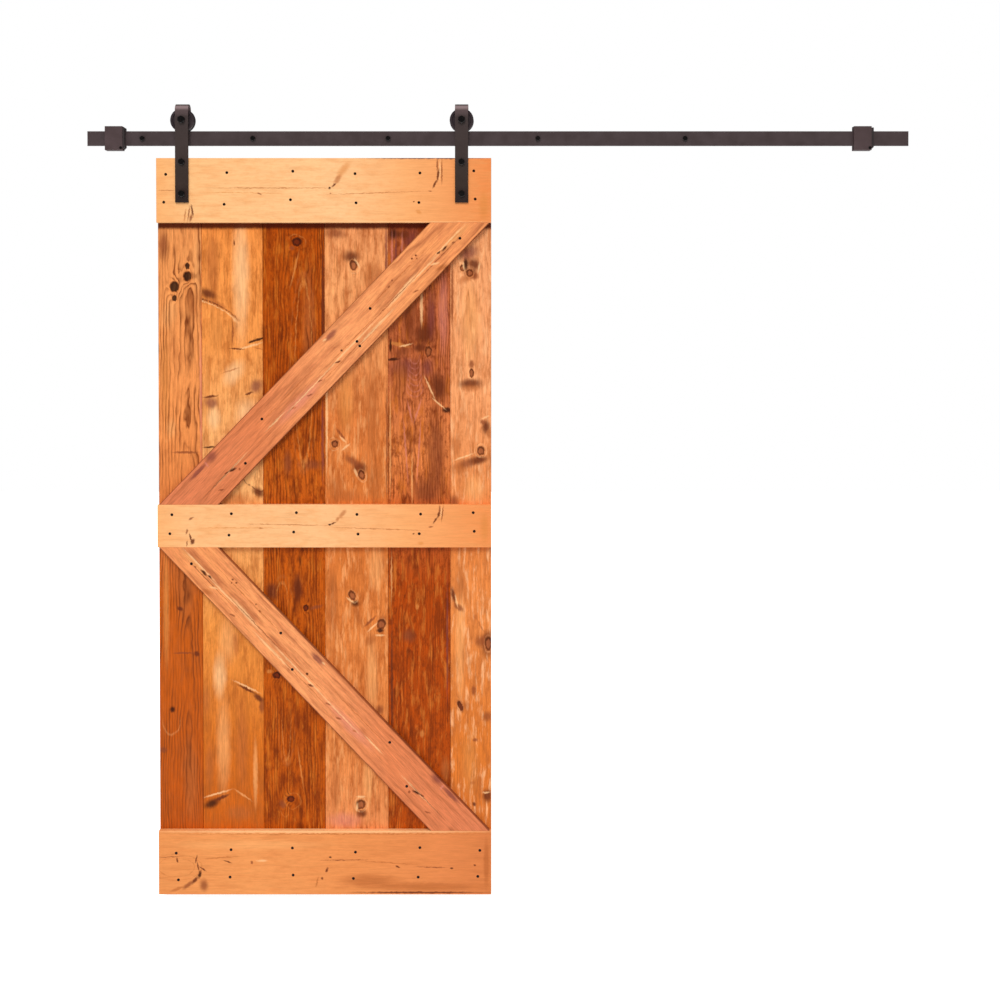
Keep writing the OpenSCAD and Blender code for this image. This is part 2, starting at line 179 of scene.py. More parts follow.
# tones: share of the board's length, colour. deep, line, pale: soaked-in stain, ring lines, pale streaks
# pith: mm across and behind the face, with its lean in degrees. ring: mm from ring to ring
# wave, grain, soak, mottle, fibre: how strong each of these is
# marks: tone, middle x and z, half width, half height, turn. knots: middle, halves, turn, push on the rings
# curls: tone, middle, halves, turn, line width, strength, and 1, -1 or 0 for the lower or upper half or both
boards = {
    "plank_1": {
        "tones": [(0, "#ef9c59"), (0.35, "#f69752"), (0.5, "#e07c3c"), (0.6, "#c65c12"), (1, "#bb500c")],
        "deep": "#b05a28", "line": "#7e3a14", "knot": ("#2c140a", "#1c0c06"),
        "turn": 0, "pith": (95, 22), "lean": 1.5, "ring": 7.5, "wave": 7,
        "grain": 0.85, "soak": 0.3, "mottle": 0.2,
        "knots": [
            (47, 370, 12, 14, 0, 2.2), (85, 340, 11, 13, 0, 2.2), (85, 310, 6, 8, 0, 0.8),
            (47, 403, 6, 8, 0, 0.8),
        ],
        "marks": [
            ("rust", 15, 250, 14, 40, 0), ("honey", 115, 300, 14, 85, 0), ("amber", 95, 410, 16, 45, 12),
            ("honey", 32, 445, 20, 45, -12), ("ochre", 20, 640, 13, 140, 0), ("honey", 37, 780, 14, 26, 0),
            ("blush", 123, 690, 4, 220, 0), ("rust", 77, 850, 40, 4, 0), ("ochre", 20, 1305, 9, 170, 0),
            ("amber", 77, 1265, 26, 85, 0), ("umber", 60, 1305, 10, 7, -30), ("umber", 108, 1437, 9, 9, 0),
            ("rust", 70, 1435, 32, 3, 0), ("char", 37, 1600, 8, 10, 0), ("rust", 10, 1718, 12, 9, 0),
            ("amber", 90, 1800, 20, 115, 0),
        ],
        "curls": [
            ("honey", 34, 1630, 26, 43, 0, 0.13, 0.3, 1), ("honey", 23, 755, 14, 64, 0, 0.14, 0.3, 1),
        ],
    },
    "plank_2": {
        "tones": [
            (0, "#f69142"), (0.25, "#f89a4c"), (0.42, "#ffb974"), (0.64, "#f09442"), (0.8, "#d56e1c"),
            (1, "#bc4c06"),
        ],
        "deep": "#b05a1e", "line": "#a4581e",
        "turn": 0, "pith": (230, 70), "lean": 2.5, "ring": 14, "wave": 14, "grain": 0.25, "soak": 0.6,
        "marks": [
            ("straw", 240, 335, 23, 170, 0), ("straw", 160, 750, 18, 35, 0), ("straw", 258, 740, 32, 40, 0),
            ("straw", 218, 620, 22, 40, -35), ("amber", 157, 310, 20, 100, 0),
            ("ochre", 165, 500, 20, 60, 0), ("ochre", 140, 700, 10, 110, 0), ("umber", 221, 242, 2.5, 9, 0),
            ("umber", 145, 390, 26, 13, -25), ("amber", 170, 418, 32, 9, -28),
            ("rust", 216, 505, 2.5, 38, 0), ("char", 271, 529, 13, 4, 22), ("char", 288, 523, 14, 4, 14),
            ("char", 303, 520, 9, 3.5, 5), ("straw", 265, 542, 38, 3.5, 16),
            ("umber", 228, 550, 23, 2.5, -4), ("amber", 291, 549, 17, 2.5, -14),
            ("plum", 153, 706, 20, 17, 0), ("umber", 151, 688, 23, 3.5, 8), ("plum", 284, 658, 16, 20, -25),
            ("umber", 262, 679, 13, 3.5, 22), ("amber", 210, 612, 29, 2.5, 18),
            ("char", 148, 835, 20, 3, 4), ("straw", 185, 827, 17, 3.5, 22),
            ("umber", 289, 966, 20, 12, -30), ("amber", 225, 985, 40, 20, 0),
            ("honey", 198, 1395, 26, 64, 0), ("straw", 175, 1500, 18, 58, 0),
            ("amber", 222, 1412, 8, 38, 5), ("amber", 136, 1568, 12, 40, 0),
            ("umber", 253, 1540, 32, 4, -27), ("umber", 288, 1566, 20, 9, -42),
            ("rust", 297, 1592, 8, 20, 0), ("straw", 253, 1533, 43, 3, -25),
            ("honey", 185, 1700, 20, 130, 0), ("amber", 238, 1700, 18, 120, 0),
            ("honey", 278, 1786, 7, 98, 0), ("amber", 145, 1760, 13, 65, 0),
            ("char", 150, 1875, 23, 12, 22), ("umber", 179, 1858, 26, 5, 24),
            ("straw", 167, 1846, 43, 3, 17), ("honey", 242, 1850, 32, 3, -35),
            ("amber", 232, 1902, 35, 22, 0),
        ],
        "curls": [
            ("umber", 174, 437, 60, 12, -29, 0.3, 0.9, -1),
            ("straw", 171, 442, 60, 12, -29, 0.22, 0.75, -1), ("umber", 307, 859, 81, 104, 0, 0.04, 0.8, 1),
        ],
    },
    "plank_3": {
        "tones": [(0, "#b74e06"), (0.3, "#ba5006"), (0.42, "#cd6014"), (0.56, "#c65a0c"), (1, "#bb5206")],
        "deep": "#7a2c02", "line": "#662402", "pale": "#cf6c1c", "knot": ("#6a240a", "#40140a"),
        "turn": 0, "pith": (415, 26), "lean": 1, "ring": 6.5, "wave": 6,
        "grain": 0.75, "soak": 0.8, "mottle": 0.6,
        "knots": [
            (402, 240, 13, 11, 0, 1.6), (426, 1303, 7, 8, 0, 1.2), (341, 1500, 11, 9, 0, 1.6),
            (381, 1862, 10, 8, 0, 1.6),
        ],
        "marks": [
            ("rust", 388, 257, 9, 7, 0), ("amber", 436, 500, 18, 170, 0), ("rust", 374, 880, 12, 35, 0),
            ("rust", 441, 886, 32, 14, 0), ("umber", 477, 411, 4, 200, 0), ("plum", 476, 817, 4, 130, 0),
            ("ochre", 396, 318, 3, 58, -14), ("umber", 328, 1256, 17, 26, 0),
            ("umber", 403, 1245, 12, 40, 0), ("ochre", 299, 1192, 7, 58, 0), ("rust", 456, 1301, 20, 6, 15),
            ("char", 353, 1485, 3.5, 9, 20), ("ochre", 320, 1488, 9, 6, 0),
            ("ochre", 410, 1773, 2.5, 64, 8), ("rust", 357, 1877, 9, 14, 20),
        ],
        "curls": [
            ("ochre", 402, 240, 26, 20, -25, 0.16, 0.4, -1), ("ochre", 421, 620, 25, 266, 0, 0.09, 0.6, 0),
            ("amber", 421, 620, 40, 289, 0, 0.06, 0.5, 0), ("ochre", 357, 1291, 17, 64, 0, 0.14, 0.55, -1),
            ("amber", 357, 1291, 29, 81, 0, 0.1, 0.45, -1), ("ochre", 369, 1616, 13, 133, 0, 0.14, 0.6, 1),
            ("amber", 369, 1616, 26, 144, 0, 0.09, 0.5, 1), ("ochre", 387, 1868, 23, 23, 0, 0.12, 0.3, 0),
            ("ochre", 363, 1894, 12, 20, 10, 0.16, 0.3, 1),
        ],
    },
    "plank_4": {
        "tones": [
            (0, "#e9925c"), (0.2, "#fca868"), (0.35, "#e28040"), (0.5, "#da7732"), (0.8, "#e68745"),
            (1, "#ee955e"),
        ],
        "deep": "#a84e16", "line": "#a04c18", "pale": "#f4a060",
        "turn": 0, "pith": (575, 60), "lean": 2, "ring": 11, "wave": 9, "grain": 0.3, "soak": 0.65,
        "knots": [
            (566, 308, 10, 14, 15, 1.6), (511, 826, 9, 10, 0, 1.4), (589, 916, 9, 13, 20, 1.4),
            (561, 1267, 9, 14, 25, 1.5), (645, 1351, 12, 14, -20, 1.6), (585, 1878, 12, 13, 0, 1.4),
        ],
        "marks": [
            ("umber", 560, 282, 22, 17, -10), ("amber", 621, 340, 26, 46, 0),
            ("straw", 577, 302, 3, 17, 30), ("plum", 661, 282, 4, 100, 0), ("rust", 514, 215, 30, 15, 0),
            ("amber", 618, 731, 22, 140, 0), ("ochre", 543, 702, 22, 87, 0), ("straw", 488, 759, 3, 170, 0),
            ("straw", 534, 812, 14, 3, -45), ("straw", 543, 835, 17, 3, 40), ("rust", 528, 797, 23, 4, -50),
            ("umber", 583, 896, 20, 17, -10), ("rust", 563, 876, 26, 11, -30),
            ("straw", 572, 910, 4, 14, 20), ("amber", 513, 962, 23, 52, 0), ("amber", 627, 934, 23, 64, 0),
            ("amber", 557, 977, 35, 22, 0), ("rust", 662, 818, 3, 200, 0), ("char", 569, 1290, 12, 10, 0),
            ("straw", 555, 1281, 14, 3, -35), ("amber", 578, 1325, 9, 35, 18),
            ("rust", 645, 1345, 11, 19, -25), ("char", 642, 1369, 12, 7, 0),
            ("straw", 642, 1383, 14, 3.5, 0), ("rust", 613, 1342, 26, 4, 42),
            ("straw", 619, 1360, 20, 3, 42), ("amber", 613, 1397, 20, 12, 35),
            ("amber", 502, 1281, 14, 115, 0), ("honey", 631, 1180, 23, 64, 0),
            ("rust", 641, 1600, 11, 13, 0), ("honey", 618, 1513, 17, 115, 0),
            ("umber", 588, 1904, 15, 12, 0), ("straw", 585, 1855, 14, 3.5, 0),
            ("straw", 574, 1884, 3.5, 14, 0), ("blush", 538, 1924, 46, 22, 0),
            ("amber", 512, 1831, 12, 75, 0), ("honey", 606, 1803, 14, 58, 0),
        ],
        "curls": [
            ("straw", 566, 308, 18, 24, 15, 0.14, 0.35, 1), ("straw", 511, 826, 16, 18, 0, 0.15, 0.3, 0),
            ("straw", 589, 916, 14, 21, 20, 0.15, 0.38, 1), ("straw", 561, 1267, 16, 24, 25, 0.15, 0.38, 1),
            ("straw", 585, 1878, 20, 21, 0, 0.13, 0.33, 0),
        ],
    },
    "plank_5": {
        "tones": [
            (0, "#ab5228"), (0.3, "#c86a3c"), (0.4, "#ec8646"), (0.5, "#cc6228"), (0.58, "#b24504"),
            (1, "#b84c06"),
        ],
        "deep": "#7a2e04", "line": "#6e2806", "pale": "#cf6e26",
        "turn": 0, "pith": (740, 30), "lean": 1.5, "ring": 6.5, "wave": 7,
        "grain": 0.6, "soak": 0.75, "mottle": 0.7,
        "knots": [(783, 558, 9, 14, 0, 1.8)],
        "marks": [
            ("char", 680, 216, 15, 17, 0), ("umber", 709, 218, 19, 14, 0), ("blush", 678, 291, 3.5, 80, 0),
            ("plum", 689, 282, 4, 75, 0), ("blush", 707, 274, 3.5, 64, 0), ("plum", 735, 239, 22, 38, 0),
            ("blush", 826, 443, 14, 110, 0), ("straw", 763, 428, 5, 55, 0), ("plum", 792, 448, 12, 69, 0),
            ("rust", 731, 465, 22, 50, 0), ("umber", 770, 508, 30, 30, 0), ("rust", 705, 558, 24, 13, 12),
            ("char", 679, 580, 19, 5, 4), ("ochre", 697, 537, 33, 6, -12), ("straw", 717, 539, 20, 3, 14),
            ("umber", 813, 660, 23, 41, 12), ("plum", 715, 604, 42, 28, 0), ("char", 673, 540, 4, 23, 0),
            ("umber", 757, 547, 19, 13, 0), ("amber", 702, 639, 22, 50, 0), ("plum", 781, 605, 15, 26, 0),
            ("blush", 729, 732, 3, 35, 13), ("blush", 752, 729, 3, 38, -17),
            ("honey", 735, 929, 2.5, 85, 0), ("blush", 717, 845, 2.5, 95, 4),
            ("blush", 755, 845, 2.5, 95, -4), ("straw", 787, 663, 2.5, 40, 24),
            ("straw", 813, 709, 2.5, 26, 50), ("char", 836, 727, 15, 9, 0), ("rust", 807, 863, 26, 110, 0),
            ("rust", 775, 964, 40, 40, 0), ("honey", 672, 818, 2.5, 170, 0),
            ("honey", 675, 1215, 2.5, 75, 0), ("umber", 676, 1543, 3.5, 230, 0),
            ("plum", 837, 1399, 3, 180, 0), ("ochre", 750, 1300, 5, 9, 0), ("ochre", 764, 1671, 7, 12, 0),
            ("rust", 726, 1384, 19, 19, 0), ("amber", 831, 1775, 12, 35, 0),
        ],
        "curls": [
            ("blush", 743, z, 14 + (z - 560) / 10, 29, 0, 0.12, 0.36, 1) for z in range(564, 664, 16)
        ],
    },
    "plank_6": {
        "tones": [
            (0, "#f6a66f"), (0.3, "#fba66c"), (0.5, "#e78440"), (0.62, "#ee8c46"), (0.8, "#de782c"),
            (1, "#d97430"),
        ],
        "deep": "#b4602a", "line": "#ad5c28", "pale": "#ffb880",
        "turn": 0, "pith": (905, 60), "lean": 2, "ring": 9, "wave": 8, "grain": 0.35, "soak": 0.55,
        "knots": [
            (882, 316, 7, 9, 0, 1.2), (903, 330, 10, 10, 0, 1.6), (908, 620, 6, 12, 0, 1.4),
            (935, 846, 10, 12, 0, 1.8), (875, 1590, 6, 13, 20, 1.2), (957, 1408, 10, 20, 0, 2),
        ],
        "marks": [
            ("plum", 899, 272, 30, 19, 20), ("umber", 914, 304, 23, 15, -25), ("char", 891, 304, 8, 19, 0),
            ("umber", 906, 330, 17, 15, -20), ("rust", 917, 339, 11, 11, 0),
            ("amber", 894, 345, 23, 11, 30), ("straw", 885, 310, 3.5, 14, 10),
            ("straw", 929, 316, 3, 17, -10), ("honey", 905, 472, 26, 115, 0), ("rust", 852, 391, 4, 115, 0),
            ("rust", 908, 594, 7, 13, 0), ("umber", 905, 650, 34, 15, 4), ("amber", 905, 664, 26, 10, 0),
            ("umber", 950, 777, 13, 19, 0), ("rust", 941, 762, 9, 8, -25), ("amber", 958, 797, 8, 14, 0),
            ("straw", 949, 748, 12, 3, 20), ("rust", 901, 881, 38, 13, 16), ("amber", 867, 898, 20, 16, 0),
            ("umber", 930, 872, 26, 11, 10), ("straw", 886, 863, 32, 3, 20), ("amber", 863, 828, 14, 26, 0),
            ("honey", 915, 965, 29, 46, 0), ("rust", 857, 993, 15, 19, 0), ("umber", 855, 1266, 7, 26, 12),
            ("straw", 864, 1283, 3, 20, 12), ("rust", 870, 1301, 19, 9, -35),
            ("amber", 875, 1235, 18, 45, 0), ("amber", 919, 1330, 6, 9, 20),
            ("umber", 954, 1408, 17, 38, 0), ("rust", 939, 1400, 23, 18, -10),
            ("amber", 934, 1356, 3, 23, 30), ("umber", 875, 1590, 7, 20, 25),
            ("amber", 883, 1587, 20, 12, -15), ("rust", 913, 1544, 7, 17, 0), ("rust", 918, 1689, 8, 6, 0),
            ("rust", 953, 1620, 14, 15, 0), ("umber", 953, 1852, 13, 19, 0), ("straw", 950, 1843, 12, 3, 0),
            ("umber", 915, 1877, 5, 7, 0), ("amber", 912, 1814, 8, 6, 0), ("honey", 875, 1399, 14, 170, 0),
            ("ochre", 904, 1747, 23, 87, 0),
        ],
        "curls": [
            ("straw", 935, 846, 17, 18, 0, 0.16, 0.4, 0), ("straw", 908, 617, 13, 18, 0, 0.17, 0.35, 1),
        ],
    },
    "top_rail": {
        "tones": [(0, "#fab472"), (0.1, "#fec284"), (0.55, "#ffc68c"), (0.75, "#fbb070"), (1, "#ed8b4b")],
        "deep": "#f0a060", "line": "#d5894a", "fibre": 0.09,
        "turn": 90, "pith": (95, 60), "lean": 0.6, "ring": 17, "wave": 9,
        "grain": 0.15, "soak": 0.4, "mottle": 0.25,
        "marks": [
            ("amber", 340, 86, 190, 1.5, 0), ("amber", 642, 100, 144, 1.5, 2),
            ("ochre", 245, 100, 115, 1.5, -1), ("amber", 32, 93, 29, 1.5, 0),
            ("rust", 298, 103, 7, 2.5, -25), ("char", 500, 86, 4, 4, 0), ("umber", 512, 78, 8, 3, 35),
            ("rust", 502, 102, 3, 2.5, 0), ("amber", 523, 61, 17, 8, 55), ("ochre", 540, 33, 26, 10, 50),
            ("rust", 94, 160, 2.5, 23, -8), ("amber", 83, 165, 2.5, 20, -8), ("umber", 104, 151, 3, 19, 10),
            ("rust", 100, 172, 4, 13, -12), ("rust", 810, 20, 3, 20, 0), ("umber", 812, 49, 3.5, 20, -8),
            ("umber", 803, 75, 3.5, 14, -28), ("rust", 823, 40, 2.5, 36, 0),
            ("straw", 817, 37, 2.5, 32, -2), ("rust", 789, 95, 6, 2.5, 0), ("umber", 742, 125, 3, 2.5, 0),
            ("ochre", 756, 155, 9, 6, -30), ("ochre", 944, 139, 14, 40, 0), ("umber", 785, 1, 185, 2, 0),
            ("straw", 500, 184, 490, 2.5, 0),
        ],
    },
    "middle_rail": {
        "tones": [(0, "#fab474"), (0.1, "#fdbe82"), (0.5, "#fdc086"), (0.75, "#faac6c"), (1, "#f08f4e")],
        "deep": "#f0a060", "line": "#d5894a", "fibre": 0.09,
        "turn": 90, "pith": (1060, 55), "lean": 0.6, "ring": 14, "wave": 8,
        "grain": 0.15, "soak": 0.4, "mottle": 0.25,
        "marks": [
            ("amber", 379, 1058, 139, 1.5, -1), ("ochre", 235, 1067, 130, 1.5, 0),
            ("amber", 639, 1070, 144, 1.5, -2), ("rust", 98, 1040, 10, 3, 30),
            ("rust", 85, 1078, 3.5, 9, -10), ("umber", 96, 1095, 3, 14, 15),
            ("umber", 102, 1107, 6, 10, -25), ("rust", 85, 1113, 2.5, 9, -10),
            ("amber", 299, 1068, 7, 2.5, 0), ("char", 498, 1058, 5, 2.5, 0),
            ("umber", 509, 1053, 9, 2.5, 28), ("amber", 521, 1042, 7, 5, 55),
            ("amber", 535, 1027, 17, 7, 50), ("rust", 816, 1013, 3, 12, 0),
            ("umber", 813, 1028, 3.5, 12, -12), ("umber", 803, 1045, 3, 12, -32),
            ("rust", 824, 1026, 2.5, 24, -7), ("straw", 820, 1022, 2, 17, -2), ("rust", 790, 1064, 8, 2, 0),
            ("umber", 740, 1085, 3, 2.5, 0), ("ochre", 761, 1112, 9, 5, 0), ("ochre", 946, 1066, 12, 40, 0),
            # painted shade: the darker line along the rail's lower edge
            ("amber", 480, 1128, 486, 2, 0),
        ],
    },
    "bottom_rail": {
        "tones": [(0, "#ea9453"), (0.3, "#f09a58"), (0.6, "#ea9050"), (0.85, "#e4874c"), (1, "#d67a42")],
        "deep": "#dc8246", "line": "#bd6c34", "fibre": 0.11,
        "turn": 90, "pith": (2010, 60), "lean": 0.6, "ring": 15, "wave": 9,
        "grain": 0.18, "soak": 0.4, "mottle": 0.25,
        "marks": [
            # painted highlight: the pale band along the rail's top edge, where light from above falls, with a
            # thin darker line under it
            ("straw", 480, 1950, 490, 5, 0), ("amber", 480, 1957, 490, 1.5, 0),
            ("rust", 33, 2024, 32, 1.5, 3), ("umber", 54, 2034, 3, 8, 15),
            ("umber", 109, 2031, 2.5, 13, -12), ("umber", 114, 2052, 2.5, 14, 12),
            ("umber", 128, 2059, 13, 2.5, -35), ("char", 119, 2075, 5, 13, -12),
            ("umber", 105, 2092, 14, 5, 50), ("rust", 85, 2106, 20, 7, 38), ("amber", 53, 2118, 23, 5, 22),
            ("rust", 131, 2107, 12, 17, 0), ("umber", 200, 2038, 13, 2.5, -15),
            ("rust", 270, 2040, 4, 5, 10), ("straw", 299, 2035, 17, 2.5, 0), ("amber", 183, 2026, 58, 2, 4),
            ("char", 498, 2025, 4, 3.5, 0), ("umber", 488, 2062, 4, 8, -20), ("umber", 474, 2086, 4, 4, 0),
            ("amber", 460, 2097, 3, 17, -15), ("rust", 538, 2033, 75, 1.5, 1),
            ("amber", 668, 2041, 87, 1.5, -4), ("umber", 694, 2053, 7, 2.5, -20),
            ("rust", 790, 2054, 46, 1.5, -1), ("char", 850, 2057, 5, 2.5, 0),
            ("umber", 917, 2048, 4, 2.5, 0), ("amber", 769, 2111, 170, 13, 0),
            ("umber", 755, 2128, 200, 3, 0), ("amber", 951, 2043, 9, 72, 0),
            ("amber", 610, 2093, 87, 18, 0), ("honey", 264, 1989, 200, 14, 0),
        ],
        "curls": [
            ("amber", 50, 2054, 55, 26, 0, 0.06, 0.45, 0), ("amber", 50, 2054, 75, 38, 0, 0.05, 0.38, 0),
        ],
    },
    "brace_upper": {
        "tones": [(0, "#dc7c52"), (0.3, "#e2814f"), (0.55, "#fba266"), (0.8, "#f89e60"), (1, "#f0965a")],
        "deep": "#d27a4e", "line": "#b2623a", "fibre": 0.28, "middle": 758.8, "half": 62,
        "turn": 43.89, "pith": (758, 60), "lean": 0.7, "ring": 13, "wave": 6, "grain": 0.65, "soak": 0.5,
        "marks": [
            ("straw", 343, 758, 40, 2.5, 46), ("straw", 557, 545, 120, 2.5, 46),
            ("straw", 632, 488, 80, 4, 46), ("straw", 709, 381, 64, 6, 50), ("straw", 771, 321, 64, 3, 46),
            ("straw", 842, 240, 75, 2.5, 46), ("straw", 209, 902, 75, 2.5, 46),
            ("straw", 442, 666, 98, 2, 46), ("rust", 678, 413, 115, 1.5, 46),
            ("amber", 563, 525, 120, 1.5, 46), ("amber", 686, 355, 170, 1.5, 46),
            ("amber", 384, 677, 140, 1.5, 46), ("amber", 543, 577, 140, 1.5, 46),
            ("rust", 814, 289, 98, 1.5, 46), ("rust", 186, 925, 80, 2, 46), ("char", 831, 260, 13, 4, 46),
            ("char", 814, 272, 7, 3.5, 46), ("rust", 856, 243, 5, 2.5, 30),
            ("umber", 748, 280, 3.5, 3.5, 0), ("umber", 737, 289, 3, 3, 0), ("rust", 751, 289, 3, 3, 0),
            ("rust", 680, 352, 3, 3, 0), ("rust", 670, 371, 5, 3, 46), ("rust", 749, 383, 10, 2.5, 25),
            ("char", 533, 554, 4, 4, 0), ("umber", 523, 587, 10, 3, 22), ("rust", 471, 642, 10, 2.5, 25),
            ("rust", 442, 683, 9, 3, 20), ("amber", 396, 720, 9, 3, 25), ("char", 218, 899, 13, 4, 28),
            ("umber", 200, 908, 7, 2.5, 35), ("rust", 238, 897, 4, 5, 0), ("rust", 185, 957, 10, 2.5, 15),
            ("plum", 157, 861, 20, 13, 46), ("plum", 119, 904, 38, 7, 46), ("blush", 143, 884, 3, 10, 38),
            ("plum", 503, 510, 26, 9, 46), ("straw", 485, 524, 3, 7, -50), ("umber", 843, 313, 14, 4, 30),
            ("amber", 823, 315, 20, 8, 20), ("straw", 803, 304, 14, 3, 15), ("honey", 862, 229, 58, 9, 46),
            ("blush", 413, 701, 85, 15, 46),
        ],
    },
}


boards["brace_lower"] = dict(  # the upper brace turned over about the door's middle and let down
    boards["brace_upper"], turn=-43.57, pith=(-709, 60), middle=-709.1,
    tones=[(1 - at, tone) for at, tone in reversed(boards["brace_upper"]["tones"])],
    marks=[
        (stain, door["width"] - x, z + door["braceDrop"], across, down, -turn)
        for stain, x, z, across, down, turn in boards["brace_upper"]["marks"]
    ],
)

# the figure's layers: shift, mm across, mm along, detail and roughness of the noise that makes each
figures = {
    "drift": ((0, 0, 0), 55, 210, 3, 0.55),  # how the pith wanders
    "fade": ((0, 0, 0), 26, 150, 3, 0.5),  # where the rings are faint
    "soak": ((3.7, 0, 1.3), 22, 90, 6, 0.65),  # where the stain soaked in
    "mottle": ((9.1, 0, 4.4), 11, 24, 5, 0.7),
    "pale": ((2.1, 0, 7.7), 13, 70, 5, 0.65),
    "fibre": ((0, 0, 0), 4.5, 60, 6, 0.75),  # 4 mm wide, coarser than real fibres so that they show
}


def woodBoard(name, look):
    # knotty pine, flat sawn, stained and varnished: rings cut lengthwise, knots, blotches under a satin coat
    low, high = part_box(name)
    material, tree = newMaterial("stained knotty pine " + name.replace("_", " "))
    place = put(tree, "ShaderNodeTexCoord", out="Object")
    corner = (-door["left"], -door["front"], door["top"])
    spot = put(tree, "ShaderNodeMapping", {"Vector": place, "Location": corner, "Scale": (1000, 1000, -1000)})
    turned = put(tree, "ShaderNodeMapping", {"Vector": spot, "Rotation": (0, math.radians(look["turn"]), 0)})
    figure = {}
    for layer, (shift, across, along, detail, roughness) in figures.items():
        scale = (1 / across, 1 / across, 1 / along)
        cell = put(tree, "ShaderNodeMapping", {"Vector": turned, "Location": shift, "Scale": scale})
        noise = {"Vector": cell, "Scale": 1.0, "Detail": detail, "Roughness": roughness}
        figure[layer] = put(tree, "ShaderNodeTexNoise", noise, out="Color" if layer == "drift" else "Fac")

    # two ragged copies of the place, so that nothing has a drawn edge
    rag = put(tree, "ShaderNodeMapping", {"Vector": turned, "Scale": (1 / 16, 1 / 16, 1 / 38)})
    noise = {"Vector": rag, "Detail": 3.0, "Roughness": 0.6}
    coarse = put(tree, "ShaderNodeTexNoise", {**noise, "Scale": 1.0}, out="Color")
    fine = put(tree, "ShaderNodeTexNoise", {**noise, "Scale": 3.0}, out="Color")
    loose = put(tree, "ShaderNodeVectorMath", {0: coarse, 1: (12, 0, 16), 2: spot}, operation="MULTIPLY_ADD")
    close = put(tree, "ShaderNodeVectorMath", {0: fine, 1: (7, 0, 8), 2: spot}, operation="MULTIPLY_ADD")

    def around(x, z, across, down, turn):
        # place measured in half widths of an ellipse on the board, and how far that is from its middle
        big = min(across, down) > 14
        ellipse = {  # half of the raggedness is put back, so that the ellipse stays where it is
            "Vector": loose if big else close,
            "Location": (x + 6, 0, z + 8) if big else (x + 3.5, 0, z + 4),
            "Rotation": (0, math.radians(turn), 0),
            "Scale": (across, 1e6, down),
        }
        local = put(tree, "ShaderNodeMapping", ellipse, vector_type="TEXTURE")
        return local, put(tree, "ShaderNodeVectorMath", {0: local}, out="Value", operation="LENGTH")

    def lay(colour, shade, amount, reach, strength, limits=()):
        # the wood with a tone over it, a stain or painted light, whose strength changes as the amount goes
        # through its reach
        spread = {"From Min": reach[0], "From Max": reach[1], "To Min": strength[0], "To Max": strength[1]}
        cover = put(tree, "ShaderNodeMapRange", {"Value": amount, **spread}, interpolation_type="SMOOTHSTEP")
        for limit in limits:
            cover = put(tree, "ShaderNodeMath", {0: cover, 1: limit}, operation="MULTIPLY")
        tone = toLinear(shade) if isinstance(shade, str) else shade
        return put(tree, "ShaderNodeMix", {0: cover, 6: colour, 7: tone}, out=2, data_type="RGBA")

    # growth rings round a wandering pith
    beside, behind = look["pith"]
    pith = put(tree, "ShaderNodeMapping", {"Vector": turned, "Location": (-beside, behind, 0)})
    leaning = put(tree, "ShaderNodeMapping", {"Vector": pith, "Rotation": (math.radians(look["lean"]), 0, 0)})
    wander = {0: figure["drift"], 1: (look["wave"] * 3, look["wave"] * 5, 0), 2: leaning}
    wandering = put(tree, "ShaderNodeVectorMath", wander, operation="MULTIPLY_ADD")
    flat = put(tree, "ShaderNodeVectorMath", {0: wandering, 1: (1, 1, 0)}, operation="MULTIPLY")
    radius = put(tree, "ShaderNodeVectorMath", {0: flat}, out="Value", operation="LENGTH")
    count = put(tree, "ShaderNodeMath", {0: radius, 1: 1 / look["ring"]}, operation="MULTIPLY")
    knots = look.get("knots", [])
    nearest = None
    for x, z, across, down, turn, push in knots:  # knots push the rings aside
        far = around(x, z, across, down, turn)[1]
        pushed = {"Value": far, "From Max": 3.4, "To Min": push, "To Max": 0.0}
        bump = put(tree, "ShaderNodeMapRange", pushed, interpolation_type="SMOOTHERSTEP")
        count = put(tree, "ShaderNodeMath", {0: count, 1: bump}, operation="ADD")
        if nearest is None:
            nearest = far
        else:
            nearest = put(tree, "ShaderNodeMath", {0: nearest, 1: far}, operation="MINIMUM")
    ring = put(tree, "ShaderNodeMath", {0: count}, operation="FRACT")
    darkening = [(0.0, 0.4), (0.08, 0.0), (0.45, 0.06), (0.72, 0.6), (0.9, 1.0), (1.0, 0.4)]
    late = put(tree, "ShaderNodeValToRGB", {"Fac": ring}, stops=darkening)
    grain = {"From Min": 0.38, "From Max": 0.62, "To Min": 0.2 * look["grain"], "To Max": 1.2 * look["grain"]}
    strength = put(tree, "ShaderNodeMapRange", {"Value": figure["fade"], **grain})
    lineShare = put(tree, "ShaderNodeMath", {0: late, 1: strength}, operation="MULTIPLY", use_clamp=True)

    # tone from one end to the other, and blotches where the stain soaked in
    sideways = look["turn"] != 0
    step = put(tree, "ShaderNodeSeparateXYZ", {0: place}, out=0 if sideways else 2)
    start, end = (low[0], high[0]) if sideways else (high[2], low[2])
    span = put(tree, "ShaderNodeMapRange", {"Value": step, "From Min": start, "From Max": end})
    colour = put(tree, "ShaderNodeValToRGB", {"Fac": span}, stops=look["tones"])
    colour = lay(colour, look["deep"], figure["soak"], (0.45, 0.68), (0, look["soak"]))
    colour = lay(colour, look["deep"], figure["mottle"], (0.46, 0.66), (0, look.get("mottle", 0.35)))
    if "pale" in look:  # and paler streaks between the blotches
        colour = lay(colour, look["pale"], figure["pale"], (0.5, 0.68), (0, 0.85))

